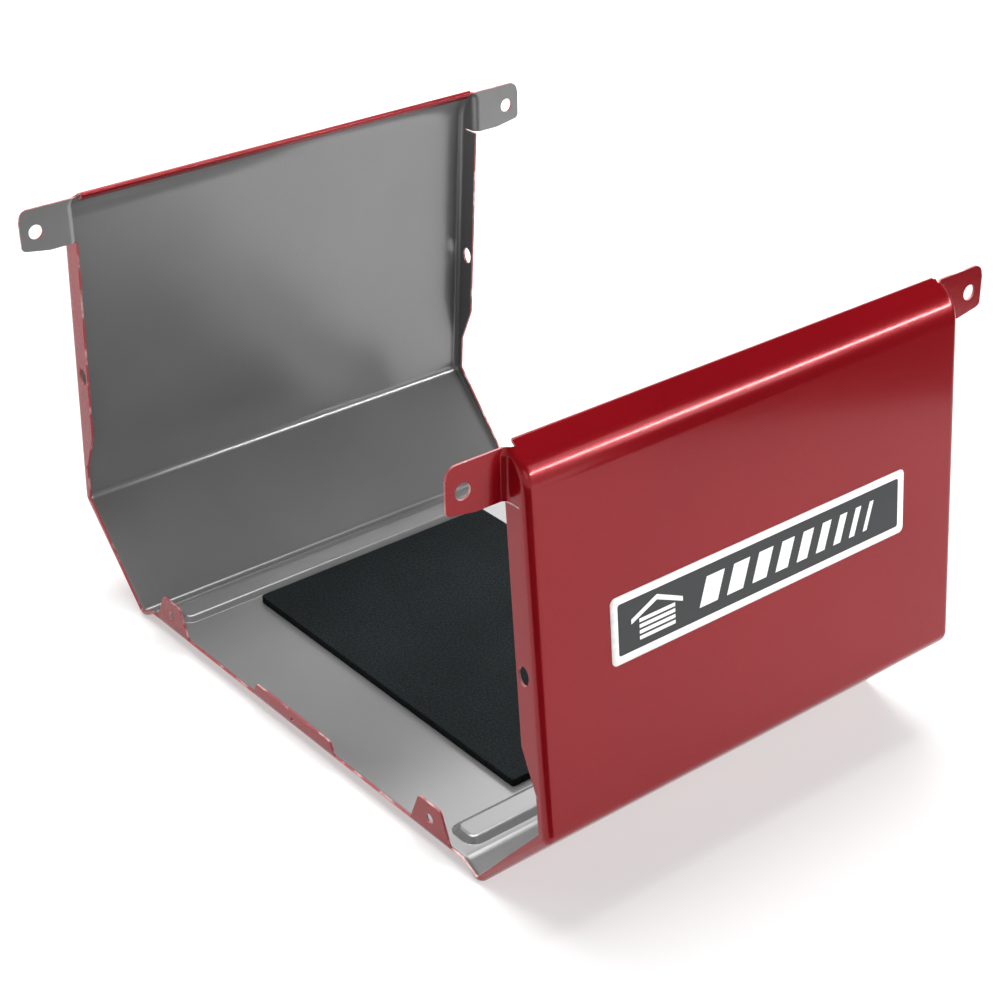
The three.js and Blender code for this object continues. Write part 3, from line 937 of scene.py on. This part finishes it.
def build_pad(context):
    """The foam pad: a die-cut rectangle with soft edges and a faintly uneven face."""
    shell = in_mm(context.scene.cover_shell)
    low, high = PAD_LOW / MM, PAD_HIGH / MM
    sink = Outline.height_over_foot(shell) - SHELL_HIGH.z / MM
    low.z = shell.floor_rise + shell.sheet - sink + CLEARANCE
    size = high - low
    middle = (low + high) / 2
    bm = bmesh.new()
    matrix = Matrix.Translation(middle) @ Matrix.Diagonal((*size, 1))
    bmesh.ops.create_cube(bm, size=1, matrix=matrix)
    upright = [edge for edge in bm.edges if abs(edge.verts[0].co.z - edge.verts[1].co.z) > 1]
    soften = {"affect": "EDGES", "offset_type": "OFFSET", "profile": 0.5, "material": -1}
    bmesh.ops.bevel(bm, geom=upright, offset=PAD_CORNER, segments=4, **soften)
    top = max(bm.faces, key=lambda face: face.calc_center_median().z)
    bmesh.ops.bevel(bm, geom=list(top.edges), offset=PAD_EDGE, segments=3, **soften)
    for axis, count in enumerate(PAD_CUTS):
        for cut in range(1, count):
            at = Vector(low)
            at[axis] += size[axis] * cut / count
            normal = Vector((0, 0, 0))
            normal[axis] = 1
            geometry = bm.verts[:] + bm.edges[:] + bm.faces[:]
            bmesh.ops.bisect_plane(bm, geom=geometry, plane_co=at, plane_no=normal, dist=1e-4)
    for vertex in bm.verts:
        if vertex.co.z > high.z - 0.01:
            swell = sin(vertex.co.x * 0.11 + 1.3) * sin(vertex.co.y * 0.083)
            ripple = sin(vertex.co.x * 0.21 - vertex.co.y * 0.17)
            vertex.co.z -= PAD_SWELL + PAD_RIPPLE - PAD_SWELL * swell - PAD_RIPPLE * ripple
    foam = closed_cell_foam("closed_cell_foam", context.scene.cover_finish.foam)
    piece = finish_mesh(bm, "pad_foam_sheet", [foam])
    flat = piece.modifiers.new("soft_faces", "WEIGHTED_NORMAL")
    flat.weight = 60
    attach(piece, "root")
    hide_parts("foam_pad")
    return piece


def slanted(x, y, run, rise, lean=0.0):
    """A bar of the label's print, from its lower left corner."""
    return [(x, y), (x + run, y), (x + run + lean, y + rise), (x + lean, y + rise)]


def label_marks():
    """Generic marks: a house front over a door of slats, then a row of slanted bars that gets thinner."""
    marks = [[(-61.5, 2.2), (-50, 7.4), (-38.5, 2.2), (-38.5, 0.4), (-50, 5.4), (-61.5, 0.4)]]
    marks += [slanted(-58, -6.8 + slat * 2.2, 16, 1.4) for slat in range(4)]
    left = BARS_LEFT
    for bar in range(BARS):
        width = BAR_WIDTH - bar * BAR_STEP
        marks.append(slanted(left, BARS_FOOT, width, BAR_HEIGHT, BAR_LEAN))
        left += width + BAR_GAP
    return marks


def build_label(context):
    """The label: a film with a white border, a charcoal field and white marks, on the side panel."""
    shell, finish = in_mm(context.scene.cover_shell), context.scene.cover_finish
    low, high = LABEL_LOW / MM, LABEL_HIGH / MM
    lean = shell.lean
    half_long = (high.x - low.x) / 2
    half_high = (high.z - low.z - LABEL_THICKNESS * sin(lean)) / 2 / cos(lean)
    bm = bmesh.new()

    def frame_loop(inset, radius):
        x, y = half_long - inset, half_high - inset
        return [(*at, FILM) for at in rounded_loop([(-x, -y), (x, -y), (x, y), (-x, y)], radius)]

    rim = wire(bm, frame_loop(0, LABEL_CORNER), closed=True)
    field = wire(bm, frame_loop(LABEL_BORDER, FIELD_CORNER), closed=True)
    marks = [wire(bm, [(*at, FILM) for at in mark], closed=True) for mark in label_marks()]
    plate(bm, rim + field)
    before = set(bm.faces)
    plate(bm, field + [edge for mark in marks for edge in mark])
    for face in set(bm.faces) - before:
        face.material_index = 1
    for mark in marks:
        plate(bm, mark)
    sides = bmesh.ops.extrude_edge_only(bm, edges=rim)["geom"]
    bottom = vertices_of(sides)
    bmesh.ops.translate(bm, vec=(0, 0, -FILM), verts=bottom)
    plate(bm, [edge for edge in bm.edges if all(vertex in bottom for vertex in edge.verts)])

    middle = (low + high) / 2
    panel = Outline(shell, in_mm(context.scene.cover_ends), in_mm(context.scene.cover_form))
    side_y = panel.side_y(middle.z + panel.sink)
    tilt = Matrix.Rotation(pi / 2 - lean, 4, "X")
    place = Matrix.Translation((middle.x, -side_y - CLEARANCE, middle.z)) @ tilt
    bmesh.ops.transform(bm, matrix=place, verts=bm.verts[:])
    white = printed_vinyl("white_vinyl_film", finish.print_light)
    dark = printed_vinyl("charcoal_print", finish.print_dark)
    piece = finish_mesh(bm, "printed_label", [white, dark])
    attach(piece, "root")
    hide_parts("side_label")
    return piece


# ---- studio ----


def add_floor(finish):
    """The table: frosted acrylic that glows by itself as if lit from below, a painted light that keeps it
    white and keeps shadows on it faint.

    The frosting is about 0.1 mm, too fine to show, so it is drawn at 2 mm.
    """
    bm = bmesh.new()
    bmesh.ops.create_grid(bm, x_segments=8, y_segments=8, size=FLOOR_HALF)
    material, tree, shader, place = new_material("glowing_acrylic_table")
    frost = node(tree, "ShaderNodeTexNoise", Vector=place, Scale=per_metre(2.0), Detail=3.0)
    matt = node(tree, "ShaderNodeBump", Strength=0.05, Distance=0.05 * MM, Height=frost.outputs["Fac"])
    shade(tree, shader, finish.floor, 0.9, matt.outputs["Normal"])
    shader.inputs["Specular IOR Level"].default_value = 0.1
    shader.inputs["Emission Color"].default_value = linear("#FFFFFF")
    # Painted light: the table's own glow is TABLE_GLOW near the middle and rises to full white between 0.4 m
    # and 1.1 m out.
    reach = node(tree, "ShaderNodeVectorMath", {"operation": "LENGTH"}, _0=place).outputs["Value"]
    tree.links.new(spread(tree, reach, 0.4, 1.1, TABLE_GLOW, 1.0), shader.inputs["Emission Strength"])
    new_object(bm, "studio_floor", [material])


def add_softbox(name, azimuth, elevation, distance, size, power, middle):
    """A soft area light that looks at the object's middle, with its size as (width, height)."""
    lamp = bpy.data.lights.new(name, "AREA")
    lamp.shape = "RECTANGLE"
    lamp.size, lamp.size_y = size
    lamp.energy = power
    back = from_angles(radians(azimuth), radians(elevation))
    box = bpy.data.objects.new(name, lamp)
    box.location = middle + back * distance
    box.rotation_euler = back.to_track_quat("Z", "Y").to_euler()
    bpy.context.scene.collection.objects.link(box)


def add_card(name, centre, size, azimuth, tilt):
    """A black card that only reflections see, where the gloss of the near panel has to stay dark."""
    bm = bmesh.new()
    bmesh.ops.create_grid(bm, x_segments=4, y_segments=4, size=0.5)
    turn = Matrix.Rotation(radians(azimuth), 4, "Z") @ Matrix.Rotation(radians(tilt), 4, "X")
    place = Matrix.Translation(centre) @ turn @ Matrix.Diagonal((*size, 1, 1))
    bmesh.ops.transform(bm, matrix=place, verts=bm.verts[:])
    material, tree, shader, _ = new_material("black_" + name)
    shade(tree, shader, linear("#101010"), 0.9)
    shader.inputs["Specular IOR Level"].default_value = 0.0
    card = new_object(bm, name, [material])
    card.visible_camera = False
    card.visible_diffuse = False
    card.visible_shadow = False


def from_angles(azimuth, elevation):
    """The direction from the object to a viewer; azimuth 0 is in front, at -Y, and 90 at +X."""
    return Vector((sin(azimuth) * cos(elevation), -cos(azimuth) * cos(elevation), sin(elevation)))


def add_camera(stage, middle):
    back = from_angles(stage.azimuth, stage.elevation)
    right = Vector((cos(stage.azimuth), sin(stage.azimuth), 0))
    up = back.cross(right)
    across = right * cos(stage.roll) + up * sin(stage.roll)
    turn = Matrix((across, back.cross(across), back)).transposed()
    lens = bpy.data.cameras.new("camera")
    lens.lens = stage.lens
    lens.shift_x, lens.shift_y = stage.shift_x, stage.shift_y
    camera = bpy.data.objects.new("camera", lens)
    eye = middle + Vector(stage.aim) + back * stage.distance
    camera.matrix_world = Matrix.Translation(eye) @ turn.to_4x4()
    bpy.context.scene.collection.objects.link(camera)
    bpy.context.scene.camera = camera


def build_stage(context):
    """The table with its painted glow, the soft lights, the black cards, the pale air round them and the
    camera.
    """
    scene = context.scene
    middle = (CAD_BOX[0] + CAD_BOX[1]) / 2
    add_floor(scene.cover_finish)
    for softbox in SOFTBOXES:
        add_softbox(*softbox, middle)
    for card in CARDS:
        add_card(*card)
    world = bpy.data.worlds.new("studio_air")
    scene.world = world
    world.use_nodes = True
    tree = world.node_tree
    view = node(tree, "ShaderNodeTexCoord").outputs["Generated"]
    rise = node(tree, "ShaderNodeSeparateXYZ", Vector=view).outputs["Z"]
    tree.nodes["Background"].inputs["Color"].default_value = linear("#FFFFFF")
    # The air is white at the horizon and nearly dark overhead, so that the gloss has a slope of tone.
    glow = spread(tree, rise, 0.05, 0.45, 1.0, 0.06)
    tree.links.new(glow, tree.nodes["Background"].inputs["Strength"])
    scene.view_settings.view_transform = "Standard"
    add_camera(scene.cover_stage, middle)


# ---- add-on ----


class COVER_OT_shell(bpy.types.Operator):
    """Fold the sheet-steel shell from its settings"""

    bl_idname = "cover.shell"
    bl_label = "Folded Shell"

    def execute(self, context):
        build_shell(context)
        return {"FINISHED"}


class COVER_OT_pad(bpy.types.Operator):
    """Cut the foam pad and lay it on the shell's floor"""

    bl_idname = "cover.pad"
    bl_label = "Foam Pad"

    def execute(self, context):
        build_pad(context)
        return {"FINISHED"}


class COVER_OT_label(bpy.types.Operator):
    """Print the label and lay it on the side panel"""

    bl_idname = "cover.label"
    bl_label = "Printed Label"

    def execute(self, context):
        build_label(context)
        return {"FINISHED"}


class COVER_OT_stage(bpy.types.Operator):
    """Set up the floor, the lights and the camera"""

    bl_idname = "cover.stage"
    bl_label = "Studio"

    def execute(self, context):
        build_stage(context)
        return {"FINISHED"}


class COVER_PT_panel(bpy.types.Panel):
    """The cover's settings and the steps that build it"""

    bl_idname = "COVER_PT_panel"
    bl_label = "Opener Cover"
    bl_space_type = "VIEW_3D"
    bl_region_type = "UI"
    bl_category = "Opener Cover"

    def draw(self, context):
        for step in STEPS:
            self.layout.operator(step.bl_idname)
        for key, group in GROUPS.items():
            box = self.layout.box()
            box.label(text=group.__doc__)
            for name in group.__annotations__:
                box.prop(getattr(context.scene, key), name)


STEPS = (COVER_OT_shell, COVER_OT_pad, COVER_OT_label, COVER_OT_stage)
GROUPS = {
    "cover_shell": ShellSettings,
    "cover_ends": EndSettings,
    "cover_form": FormSettings,
    "cover_finish": FinishSettings,
    "cover_stage": StageSettings,
}
CLASSES = (*GROUPS.values(), *STEPS, COVER_PT_panel)


def register():
    for cls in CLASSES:
        bpy.utils.register_class(cls)
    for key, group in GROUPS.items():
        setattr(bpy.types.Scene, key, bpy.props.PointerProperty(type=group))


def unregister():
    for key in GROUPS:
        delattr(bpy.types.Scene, key)
    for cls in reversed(CLASSES):
        bpy.utils.unregister_class(cls)


def main():
    register()
    bpy.ops.cover.shell()
    bpy.ops.cover.pad()
    bpy.ops.cover.label()
    bpy.ops.cover.stage()


if __name__ == "__main__":
    main()
